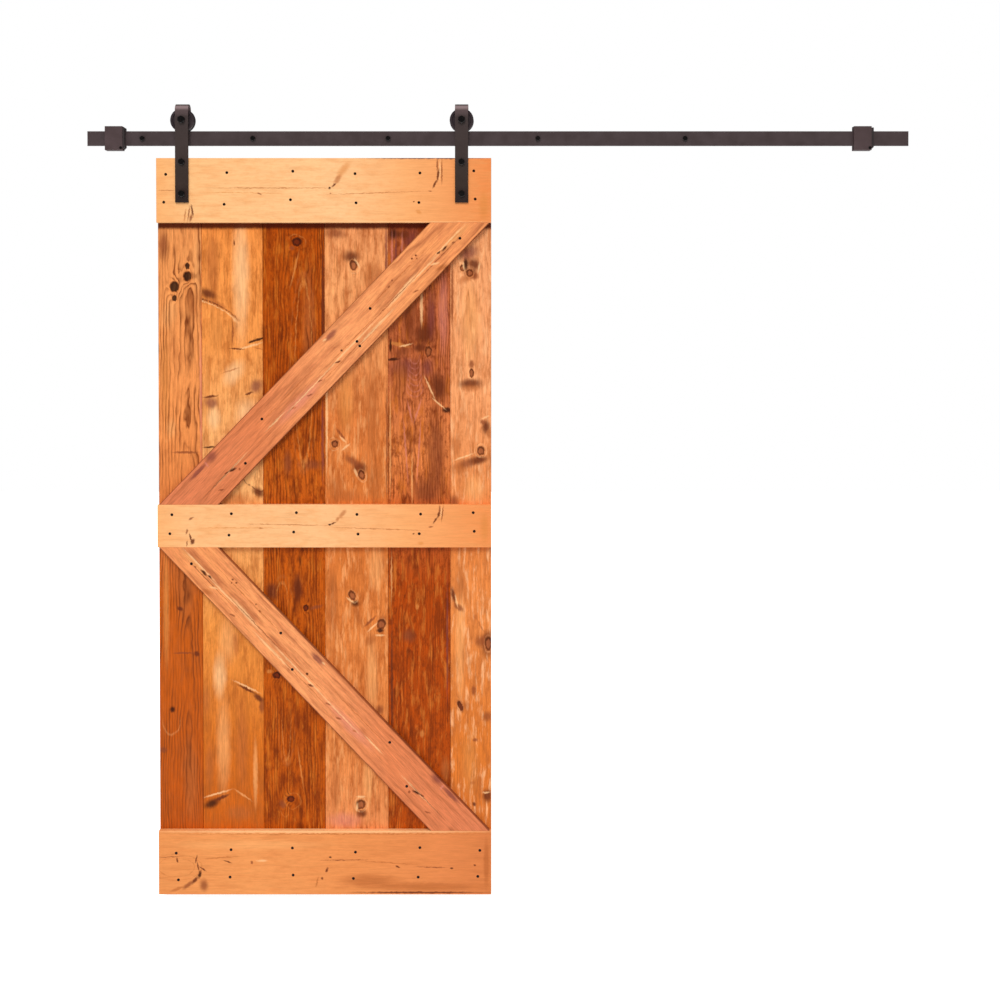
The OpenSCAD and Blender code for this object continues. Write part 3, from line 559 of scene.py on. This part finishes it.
    # wide marks under the rings, then knots, and small marks over them
    marks = sorted(look["marks"], key=lambda mark: -mark[3] * mark[4])
    wideMarks = [mark for mark in marks if min(mark[3], mark[4]) > 9]
    smallMarks = [mark for mark in marks if min(mark[3], mark[4]) <= 9]
    for stain, *ellipse in wideMarks:
        shade, share = stain_and_shade_tones[stain]
        colour = lay(colour, shade, around(*ellipse)[1], (0.3, 1.5), (share, 0))
    lines = {0: lineShare, 6: colour, 7: toLinear(look["line"])}
    colour = put(tree, "ShaderNodeMix", lines, out=2, data_type="RGBA")
    if knots:
        heart, rim = look.get("knot", ("#a05630", "#6e3418"))
        worn_edge_and_painted_sheen = put(tree, "ShaderNodeMath", {0: fine, 1: 1.1, 2: nearest}, operation="MULTIPLY_ADD")
        half = put(tree, "ShaderNodeMath", {0: worn_edge_and_painted_sheen, 1: 0.5, 2: -0.27}, operation="MULTIPLY_ADD")
        wood = look["tones"][1][1]
        rings = [(0.0, heart), (0.26, heart), (0.38, rim), (0.46, rim), (0.54, look["line"]), (0.66, wood)]
        knotTone = put(tree, "ShaderNodeValToRGB", {"Fac": half}, stops=rings)
        colour = lay(colour, knotTone, nearest, (0.95, 1.5), (0.92, 0))
    for stain, *ellipse in smallMarks:
        shade, share = stain_and_shade_tones[stain]
        colour = lay(colour, shade, around(*ellipse)[1], (0.4, 1.3), (share, 0))

    # curls of grain: whole rings, or their lower or upper halves, and painted shade: a dark crescent over the
    # upper half of every knot
    broken = {"Value": fine, "From Min": 0.4, "From Max": 0.56, "To Min": 0.25, "To Max": 1.0}
    broken = put(tree, "ShaderNodeMapRange", broken)
    # painted shade over the top of every knot's rim, for a raised look
    painted_knot_shade = [("char", *knot[:5], 0.45, 0.7, -1) for knot in knots]
    for stain, x, z, across, down, turn, width, share, half in painted_knot_shade + look.get("curls", []):
        local, far = around(x, z, across, down, turn)
        off = put(tree, "ShaderNodeMath", {0: far, 1: 1.0}, operation="SUBTRACT")
        off = put(tree, "ShaderNodeMath", {0: off}, operation="ABSOLUTE")
        limits = [broken]
        if half:
            height = put(tree, "ShaderNodeSeparateXYZ", {0: local}, out=2)
            kept = {"Value": height, "From Min": -0.25 * half, "From Max": 0.35 * half}
            limits.append(put(tree, "ShaderNodeMapRange", kept))
        colour = lay(colour, stain_and_shade_tones[stain][0], off, (0, width), (share, 0), limits)

    # fibres, painted shadow under the top rail, and painted shade along the braces' long edges
    rough = look.get("fibre", 0.24)
    light = {"From Min": 0.32, "From Max": 0.68, "To Min": 1 - rough, "To Max": 1 + rough}
    light = put(tree, "ShaderNodeMapRange", {"Value": figure["fibre"], **light})
    colour = put(tree, "ShaderNodeHueSaturation", {"Color": colour, "Value": light})
    # painted shadow: a dark band on the planks' fronts just below the top rail, where the rail's shadow falls
    if name.startswith("plank"):
        below = put(tree, "ShaderNodeSeparateXYZ", {0: close}, out=2)
        depth = put(tree, "ShaderNodeSeparateXYZ", {0: spot}, out=1)
        front = put(tree, "ShaderNodeMath", {0: depth, 1: 24}, operation="LESS_THAN")
        colour = lay(colour, "#5b1a04", below, (200, 211), (0.93, 0), [front])
    # painted shade: a dark line along both long edges of each brace
    if "half" in look:
        aside = put(tree, "ShaderNodeSeparateXYZ", {0: turned}, out=0)
        aside = put(tree, "ShaderNodeMath", {0: aside, 1: -look["middle"]}, operation="ADD")
        aside = put(tree, "ShaderNodeMath", {0: aside}, operation="ABSOLUTE")
        colour = lay(colour, "#6a2c10", aside, (look["half"] - 3.2, look["half"] - 1), (0, 0.7))
    relief = put(tree, "ShaderNodeBump", {"Height": figure["fibre"], "Strength": 0.3, "Distance": 0.0006})
    satin = {"Roughness": 0.45, "IOR": 1.5, "Specular IOR Level": 0.08, "Normal": relief}
    coat = put(tree, "ShaderNodeBsdfPrincipled", {"Base Color": colour, **satin}, out="BSDF")
    put(tree, "ShaderNodeOutputMaterial", {"Surface": coat})
    return material


def dress(name, material):
    mesh = nodes[name].data
    mesh.materials.clear()
    mesh.materials.append(material)


for name, look in boards.items():
    dress(name, woodBoard(name, look))
print("boards stained:", len(boards))


# metal and rubber: each finish has two close tones, a roughness and a grit, and the nodes that wear it

coats = {
    "track_steel": {  # powder-coated mild steel: matt brown-black with a faint orange peel
        "name": "dark bronze powder coat on steel track",
        "deep": "#413333", "pale": "#4a3c3d", "roughness": 0.5, "grit": 1.2,
        "nodes": ["track_rail"] + ["spacer_%d" % number for number in range(1, 6)],
    },
    "stop_steel": {  # the same coat on thicker steel, a little redder
        "name": "dark bronze powder coat on steel stops",
        "deep": "#473636", "pale": "#513f40", "roughness": 0.5, "grit": 1.2,
        "nodes": ["end_stop_left", "end_stop_right"],
    },
    "hanger_steel": {  # the same coat, with a painted highlight over the bend and painted shade along its top edge and towards the foot; heights in mm
        "name": "dark bronze powder coat on steel strap",
        "deep": "#3f3230", "pale": "#493a38", "roughness": 0.45, "grit": 1.2,
        "nodes": ["hanger_left", "hanger_right"],
        "heights": [
            (-186, "#1e100b"), (-170, "#220f08"), (-152, "#2a170e"), (-136, "#342419"), (-80, "#372a22"),
            (-60, "#3c2e2a"), (60, "#423533"), (70, "#584646"), (79, "#5e4b4b"), (86, "#967e7e"),
            (91, "#947e7e"), (94, "#554846"), (97, "#201817"),
        ],
    },
    "wheel_steel": {  # the coat on cast iron: darker, with a softer and wider sheen
        "name": "dark bronze powder coat on cast wheel",
        "deep": "#30262a", "pale": "#3c3033", "roughness": 0.4, "grit": 1.5,
        "nodes": ["wheel_left", "wheel_right"],
    },
    "bolt_steel": {  # hot black oxide: nearly black, with small clear glints on the flats
        "name": "black oxide bolt steel",
        "deep": "#070505", "pale": "#100b0b", "roughness": 0.3, "grit": 2.5,
        "nodes": [
            "lag_screws", "stop_screws", "strap_bolts", "strap_washers", "strap_nuts",
            "axle_bolt_left", "axle_bolt_right", "axle_washers", "axle_nuts",
        ],
    },
    "screw_steel": {  # phosphate: a dull brown-black that hardly shines
        "name": "black phosphate screw steel",
        "deep": "#150d0b", "pale": "#241510", "roughness": 0.5, "grit": 2.5, "sheen": 0.15,
        "nodes": ["rail_wood_screws", "brace_wood_screws"],
    },
    "sleeve_steel": {  # zinc: a pale, soft mirror
        "name": "bright zinc plate",
        "deep": "#a29c9a", "pale": "#b9b4b2", "roughness": 0.3, "metallic": 1.0, "grit": 3.0,
        "nodes": ["axle_sleeves"],
    },
    "bearing_steel": {  # ground and polished: nearly a mirror
        "name": "ground bearing steel",
        "deep": "#cfcfd2", "pale": "#dddde0", "roughness": 0.15, "metallic": 1.0, "grit": 6.0,
        "nodes": [
            part + side for side in ("_left", "_right")
            for part in ("retaining_ring", "bearing_outer", "bearing_inner", "bearing_balls")
        ],
    },
    "cage_brass": {  # pressed sheet: satin yellow
        "name": "pressed brass",
        "deep": "#bf9a55", "pale": "#d0ab63", "roughness": 0.3, "metallic": 1.0, "grit": 4.0,
        "nodes": ["bearing_cage_left", "bearing_cage_right"],
    },
    "pad_rubber": {  # moulded: dull charcoal
        "name": "black moulded rubber",
        "deep": "#2a2222", "pale": "#352b2b", "roughness": 0.7, "grit": 3.0,
        "nodes": ["stop_pad_left", "stop_pad_right"],
    },
}


def coating(look):
    material, tree = newMaterial(look["name"])
    place = put(tree, "ShaderNodeTexCoord", out="Object")
    patch = put(tree, "ShaderNodeTexNoise", {"Vector": place, "Scale": 28.0, "Detail": 3.0})
    tone = put(tree, "ShaderNodeValToRGB", {"Fac": patch}, stops=[(0.3, look["deep"]), (0.7, look["pale"])])
    # painted light by height on the strap: a painted highlight over the bend, painted shade at its top edge
    # and deepening towards the foot
    if "heights" in look:
        foot, crown = -190, 100  # mm
        height = put(tree, "ShaderNodeSeparateXYZ", {0: place}, out=2)
        span = {"Value": height, "From Min": foot * mm, "From Max": crown * mm}
        height = put(tree, "ShaderNodeMapRange", span)
        stops = [((z - foot) / (crown - foot), shade) for z, shade in look["heights"]]
        worn_edge_and_painted_sheen = put(tree, "ShaderNodeValToRGB", {"Fac": height}, stops=stops)
        tone = put(tree, "ShaderNodeMix", {0: 0.8, 6: tone, 7: worn_edge_and_painted_sheen}, out=2, data_type="RGBA")
    peel = put(tree, "ShaderNodeTexNoise", {"Vector": place, "Scale": 420.0 * look["grit"], "Detail": 2.0})
    relief = put(tree, "ShaderNodeBump", {"Height": peel, "Strength": 0.12, "Distance": 0.0002})
    rough = {"To Min": look["roughness"] - 0.07, "To Max": look["roughness"] + 0.07}
    skin = {
        "Base Color": tone, "Roughness": put(tree, "ShaderNodeMapRange", {"Value": patch, **rough}),
        "Metallic": look.get("metallic", 0.0), "Specular IOR Level": look.get("sheen", 0.5), "Normal": relief,
    }
    coat = put(tree, "ShaderNodeBsdfPrincipled", skin, out="BSDF")
    put(tree, "ShaderNodeOutputMaterial", {"Surface": coat})
    return material


finishes = {slot: coating(look) for slot, look in coats.items()}
for slot, look in coats.items():
    for name in look["nodes"]:
        dress(name, finishes[slot])
print("metal and rubber coated")


# fasteners: each kind is one Geometry Nodes tree, run once for each body that carries it

quarterTurn = math.radians(90)


def newTree(name, sizes):
    # a tree that puts its shape at every place given, head towards the room
    tree = bpy.data.node_groups.new(name, "GeometryNodeTree")
    tree.interface.new_socket("Fasteners", in_out="OUTPUT", socket_type="NodeSocketGeometry")
    tree.interface.new_socket("Places", in_out="INPUT", socket_type="NodeSocketGeometry")
    for size in sizes:
        tree.interface.new_socket(size, in_out="INPUT", socket_type="NodeSocketFloat")
    tree.interface.new_socket("Finish", in_out="INPUT", socket_type="NodeSocketMaterial")
    return tree, put(tree, "NodeGroupInput").node.outputs


def finishTree(tree, size, shape):
    # the shape at every place, as real geometry with its finish on
    turned = {"Points": size["Places"], "Instance": shape, "Rotation": (quarterTurn, 0, 0)}
    placed = put(tree, "GeometryNodeInstanceOnPoints", turned)
    real = put(tree, "GeometryNodeRealizeInstances", {"Geometry": placed})
    coated = put(tree, "GeometryNodeSetMaterial", {"Geometry": real, "Material": size["Finish"]})
    put(tree, "NodeGroupOutput", {"Fasteners": coated})
    return tree


def hexPrism(tree, flats, height):
    # hexagon bar with the corners of its outer end turned off, let 2 mm into what is under it
    corner = put(tree, "ShaderNodeMath", {0: flats, 1: 0.57735}, operation="MULTIPLY")  # 1 / (2 cos 30)
    tall = put(tree, "ShaderNodeMath", {0: height, 1: 0.002}, operation="ADD")
    middle = put(tree, "ShaderNodeMath", {0: height, 1: 0.5, 2: 0.001}, operation="MULTIPLY_ADD")
    bar = put(tree, "GeometryNodeMeshCylinder", {"Vertices": 6, "Radius": corner, "Depth": tall}, out="Mesh")
    lift = put(tree, "ShaderNodeCombineXYZ", {"Z": middle})
    turned = {"Geometry": bar, "Translation": lift, "Rotation": (0, 0, math.radians(30))}
    bar = put(tree, "GeometryNodeTransform", turned)
    tip = put(tree, "ShaderNodeMath", {0: flats, 1: 0.475}, operation="MULTIPLY")
    # the turned corners fall by 30 degrees
    foot = put(tree, "ShaderNodeMath", {0: height, 1: 1.73, 2: tip}, operation="MULTIPLY_ADD")
    sizes = {"Vertices": 48, "Radius Top": tip, "Radius Bottom": foot, "Depth": height}
    cone = put(tree, "GeometryNodeMeshCone", sizes, out="Mesh")
    return put(tree, "GeometryNodeMeshBoolean", {1: [bar, cone]}, operation="INTERSECT", solver="EXACT")


def screwThread(tree, radius, pitch, start, run, steps):
    # one ridge wound round the shank, from start to start + run below the head
    turns = put(tree, "ShaderNodeMath", {0: run, 1: pitch}, operation="DIVIDE")
    ridge = put(tree, "ShaderNodeMath", {0: pitch, 1: 0.42}, operation="MULTIPLY")
    line = put(tree, "ShaderNodeMath", {0: radius, 1: ridge}, operation="SUBTRACT")
    winding = {"Rotations": turns, "Start Radius": line, "End Radius": line, "Height": run}
    helix = put(tree, "GeometryNodeCurveSpiral", {"Resolution": steps, **winding})
    helix = put(tree, "GeometryNodeSetCurveNormal", {"Curve": helix}, mode="Z_UP")
    section = put(tree, "GeometryNodeCurvePrimitiveCircle", {"Resolution": 4, "Radius": ridge})
    coil = put(tree, "GeometryNodeCurveToMesh", {"Curve": helix, "Profile Curve": section, "Fill Caps": True})
    low = put(tree, "ShaderNodeMath", {0: start, 1: run}, operation="ADD")
    low = put(tree, "ShaderNodeMath", {0: low, 1: -1.0}, operation="MULTIPLY")
    drop = put(tree, "ShaderNodeCombineXYZ", {"Z": low})
    return put(tree, "GeometryNodeTransform", {"Geometry": coil, "Translation": drop})


def shaft(tree, radius, top, end, tipRadius=None):
    # round bar from top down to end, both measured down from the head; a tip radius makes it a cone
    length = put(tree, "ShaderNodeMath", {0: end, 1: top}, operation="SUBTRACT")
    foot = put(tree, "ShaderNodeMath", {0: end, 1: -1.0}, operation="MULTIPLY")
    narrow = radius if tipRadius is None else tipRadius
    sizes = {"Vertices": 32, "Radius Top": radius, "Radius Bottom": narrow, "Depth": length}
    bar = put(tree, "GeometryNodeMeshCone", sizes, out="Mesh").node.outputs
    smooth = put(tree, "GeometryNodeSetShadeSmooth", {"Geometry": bar["Mesh"], "Selection": bar["Side"]})
    drop = put(tree, "ShaderNodeCombineXYZ", {"Z": foot})
    return put(tree, "GeometryNodeTransform", {"Geometry": smooth, "Translation": drop})


# hex bolts and wall screws: head, shank, wound thread and a turned-off or pointed end
hexTree, size = newTree("hex screw", [
    "Flats", "Head", "Shank", "Core", "Thread", "Thread Start", "Thread End", "Pitch", "End", "Tip",
])
head = hexPrism(hexTree, size["Flats"], size["Head"])
run = put(hexTree, "ShaderNodeMath", {0: size["Thread End"], 1: size["Thread Start"]}, operation="SUBTRACT")
whole = put(hexTree, "GeometryNodeJoinGeometry", {0: [
    head, shaft(hexTree, size["Shank"], -0.0005, size["Thread Start"]),
    shaft(hexTree, size["Core"], size["Thread Start"], size["Thread End"]),
    screwThread(hexTree, size["Thread"], size["Pitch"], size["Thread Start"], run, 20),
    shaft(hexTree, size["Core"], size["Thread End"], size["End"], size["Tip"]),
]})
hexTree = finishTree(hexTree, size, whole)

# hexagon nuts, cut through for the bolt
nutTree, size = newTree("hex nut", ["Flats", "Height", "Bore"])
nut = hexPrism(nutTree, size["Flats"], size["Height"])
hole = {"Vertices": 32, "Radius": size["Bore"], "Depth": 0.1}
hole = put(nutTree, "GeometryNodeMeshCylinder", hole, out="Mesh")
nut = put(nutTree, "GeometryNodeMeshBoolean", {0: nut, 1: [hole]}, operation="DIFFERENCE", solver="EXACT")
nutTree = finishTree(nutTree, size, nut)

# plain washers with a stamped, slightly round edge
washerTree, size = newTree("plain washer", ["Outer", "Inner", "Thick"])
span = put(washerTree, "ShaderNodeMath", {0: size["Outer"], 1: size["Inner"]}, operation="SUBTRACT")
middle = put(washerTree, "ShaderNodeMath", {0: span, 1: 0.5, 2: size["Inner"]}, operation="MULTIPLY_ADD")
section = put(washerTree, "GeometryNodeCurvePrimitiveQuadrilateral", {"Width": span, "Height": size["Thick"]})
worn_edge_and_painted_sheen = {"Curve": section, "Radius": 0.0003, "Count": 2}
section = put(washerTree, "GeometryNodeFilletCurve", worn_edge_and_painted_sheen, mode="POLY")
path = put(washerTree, "GeometryNodeCurvePrimitiveCircle", {"Resolution": 48, "Radius": middle})
ring = put(washerTree, "GeometryNodeCurveToMesh", {"Curve": path, "Profile Curve": section})
washerTree = finishTree(washerTree, size, ring)

# countersunk wood screws with a square socket
woodTree, size = newTree("countersunk screw", [
    "Head Radius", "Head", "Core", "Thread", "Socket", "Depth", "Pitch", "Thread End", "End",
])
foot = put(woodTree, "ShaderNodeMath", {0: size["Head"], 1: -1.0}, operation="MULTIPLY")
taper = {"Radius Top": size["Head Radius"], "Radius Bottom": size["Core"], "Depth": size["Head"]}
cone = put(woodTree, "GeometryNodeMeshCone", {"Vertices": 32, **taper}, out="Mesh")
drop = put(woodTree, "ShaderNodeCombineXYZ", {"Z": foot})
cone = put(woodTree, "GeometryNodeTransform", {"Geometry": cone, "Translation": drop})
deep = put(woodTree, "ShaderNodeMath", {0: size["Depth"], 1: 2.0}, operation="MULTIPLY")
socket = put(woodTree, "ShaderNodeCombineXYZ", {"X": size["Socket"], "Y": size["Socket"], "Z": deep})
socket = put(woodTree, "GeometryNodeMeshCube", {"Size": socket}, out="Mesh")
cut = {0: cone, 1: [socket]}
head = put(woodTree, "GeometryNodeMeshBoolean", cut, operation="DIFFERENCE", solver="EXACT")
start = put(woodTree, "ShaderNodeMath", {0: size["Head"], 1: -0.0003}, operation="ADD")
run = put(woodTree, "ShaderNodeMath", {0: size["Thread End"], 1: size["Head"]}, operation="SUBTRACT")
whole = put(woodTree, "GeometryNodeJoinGeometry", {0: [
    head, shaft(woodTree, size["Core"], start, size["Thread End"]),
    screwThread(woodTree, size["Thread"], size["Pitch"], size["Head"], run, 12),
    shaft(woodTree, size["Core"], size["Thread End"], size["End"], 0.0002),
]})
woodTree = finishTree(woodTree, size, whole)


def looseParts(name):
    # the middle of each separate piece in a node
    shape = bmesh.new()
    shape.from_mesh(nodes[name].data)
    bmesh.ops.remove_doubles(shape, verts=shape.verts, dist=1e-6)
    seen = set()
    middles = []
    for start in shape.verts:
        if start in seen:
            continue
        seen.add(start)
        reach = [start]
        group = []
        while reach:
            corner = reach.pop()
            group.append(corner.co.copy())
            for edge in corner.link_edges:
                other = edge.other_vert(corner)
                if other not in seen:
                    seen.add(other)
                    reach.append(other)
        middles.append([(min(spread) + max(spread)) / 2 for spread in zip(*group)])
    shape.free()
    return middles


def fasten(name, tree, sizes, node, depth, body, slot):
    # one plain mesh of all the fasteners that a node stands for, with their seats at that depth in mm
    middles = [(middle[0], depth * mm, middle[2]) for middle in looseParts(node)]
    mesh = bpy.data.meshes.new(name + "Places")
    mesh.from_pydata(middles, [], [])
    holder = bpy.data.objects.new(name + "Places", mesh)
    bpy.context.scene.collection.objects.link(holder)
    modifier = holder.modifiers.new("fastener", "NODES")
    modifier.node_group = tree
    for item in tree.interface.items_tree:
        if item.name in sizes:
            modifier[item.identifier] = sizes[item.name] * mm
        elif item.name == "Finish":
            modifier[item.identifier] = finishes[slot]
    shown = holder.evaluated_get(bpy.context.evaluated_depsgraph_get())
    piece = bpy.data.objects.new(name, bpy.data.meshes.new_from_object(shown))
    bpy.context.scene.collection.objects.link(piece)
    bpy.data.objects.remove(holder)
    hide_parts(node)
    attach(piece, body)


# sizes in mm, measured down from under the head; Shank, Core, Thread, Bore, Outer, Inner and Tip are radii
lagScrew = {
    "Flats": 13, "Head": 5.5, "Shank": 3.5, "Core": 2.9, "Thread": 4, "Thread Start": 44, "Thread End": 89,
    "Pitch": 3, "End": 94, "Tip": 0.4,
}
strapBolt = {
    "Flats": 17, "Head": 6.4, "Shank": 5, "Core": 4.5, "Thread": 5, "Thread Start": 37, "Thread End": 51.2,
    "Pitch": 1.5, "End": 52, "Tip": 4.1,
}
axleBolt = {
    "Flats": 19, "Head": 7.5, "Shank": 6, "Core": 5.4, "Thread": 6, "Thread Start": 36.5, "Thread End": 49,
    "Pitch": 1.75, "End": 50, "Tip": 5,
}
woodScrew = {
    "Head Radius": 4.2, "Head": 3.2, "Core": 1.5, "Thread": 2.1, "Socket": 2.6, "Depth": 2, "Pitch": 1.6,
    "Thread End": 27, "End": 31,
}
strapWasher = {"Outer": 10, "Inner": 5.25, "Thick": 2}
axleWasher = {"Outer": 12, "Inner": 6.15, "Thick": 2}
strapNut = {"Flats": 17, "Height": 8, "Bore": 5}
axleNut = {"Flats": 19, "Height": 10, "Bore": 6}
seats = {  # how far from the wall each one sits, in mm
    "bar": -44, "strap": -59, "rail": -54,
    "strapNut": -9, "axleNut": -11, "strapWasher": -18, "axleWasher": -22,
}
fasten("wallScrews", hexTree, lagScrew, "lag_screws", seats["bar"], "track", "bolt_steel")
fasten("strapBolts", hexTree, strapBolt, "strap_bolts", seats["strap"], "door", "bolt_steel")
fasten("axleBoltLeft", hexTree, axleBolt, "axle_bolt_left", seats["strap"], "door", "bolt_steel")
fasten("axleBoltRight", hexTree, axleBolt, "axle_bolt_right", seats["strap"], "door", "bolt_steel")
fasten("strapNuts", nutTree, strapNut, "strap_nuts", seats["strapNut"], "door", "bolt_steel")
fasten("axleNuts", nutTree, axleNut, "axle_nuts", seats["axleNut"], "door", "bolt_steel")
fasten("strapWashers", washerTree, strapWasher, "strap_washers", seats["strapWasher"], "door", "bolt_steel")
fasten("axleWashers", washerTree, axleWasher, "axle_washers", seats["axleWasher"], "door", "bolt_steel")
fasten("railWoodScrews", woodTree, woodScrew, "rail_wood_screws", seats["rail"], "door", "screw_steel")
fasten("braceWoodScrews", woodTree, woodScrew, "brace_wood_screws", seats["rail"], "door", "screw_steel")
print("fasteners threaded")


# steel and boards with the small round edges that rolling, bending and planing leave

def ease(node, name, body, width, longer):
    # a copy of a node with its long edges rounded; edges shorter than `longer` belong to holes and bends
    shape = bmesh.new()
    shape.from_mesh(nodes[node].data)
    bmesh.ops.remove_doubles(shape, verts=shape.verts, dist=1e-6)
    bmesh.ops.dissolve_limit(shape, angle_limit=math.radians(0.5), verts=shape.verts, edges=shape.edges)
    sharp = [edge for edge in shape.edges if len(edge.link_faces) == 2 and edge.calc_length() > longer * mm]
    sharp = [edge for edge in sharp if edge.calc_face_angle(0) > math.radians(40)]
    bmesh.ops.bevel(
        shape, geom=sharp, offset=width * mm, offset_type="OFFSET", segments=2, profile=0.5, affect="EDGES",
        clamp_overlap=True)
    bmesh.ops.recalc_face_normals(shape, faces=shape.faces)
    mesh = bpy.data.meshes.new(name)
    shape.to_mesh(mesh)
    shape.free()
    mesh.materials.append(nodes[node].data.materials[0])
    piece = bpy.data.objects.new(name, mesh)
    bpy.context.scene.collection.objects.link(piece)
    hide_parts(node)
    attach(piece, body)


eased = {  # node: body, slot, edge radius and the shortest edge that is rounded, in mm
    "track_rail": ("track", "track_steel", 0.5, 20), "end_stop_left": ("track", "stop_steel", 0.8, 5),
    "end_stop_right": ("track", "stop_steel", 0.8, 5), "stop_pad_left": ("track", "pad_rubber", 0.8, 4),
    "stop_pad_right": ("track", "pad_rubber", 0.8, 4), "top_rail": ("door", "rail_pine", 1.2, 15),
    "middle_rail": ("door", "rail_pine", 1.2, 15), "bottom_rail": ("door", "rail_pine", 1.2, 15),
    "brace_upper": ("door", "brace_pine", 1.2, 15), "brace_lower": ("door", "brace_pine", 1.2, 15),
}
for side in ("left", "right"):
    eased["hanger_" + side] = ("door", "hanger_steel", 0.6, 1.1)
for number in range(1, 7):
    eased["plank_%d" % number] = ("door", "plank_pine", 1.0, 40)
for node, (body, slot, width, longer) in eased.items():
    ease(node, node + "_eased", body, width, longer)
print("edges eased:", len(eased))
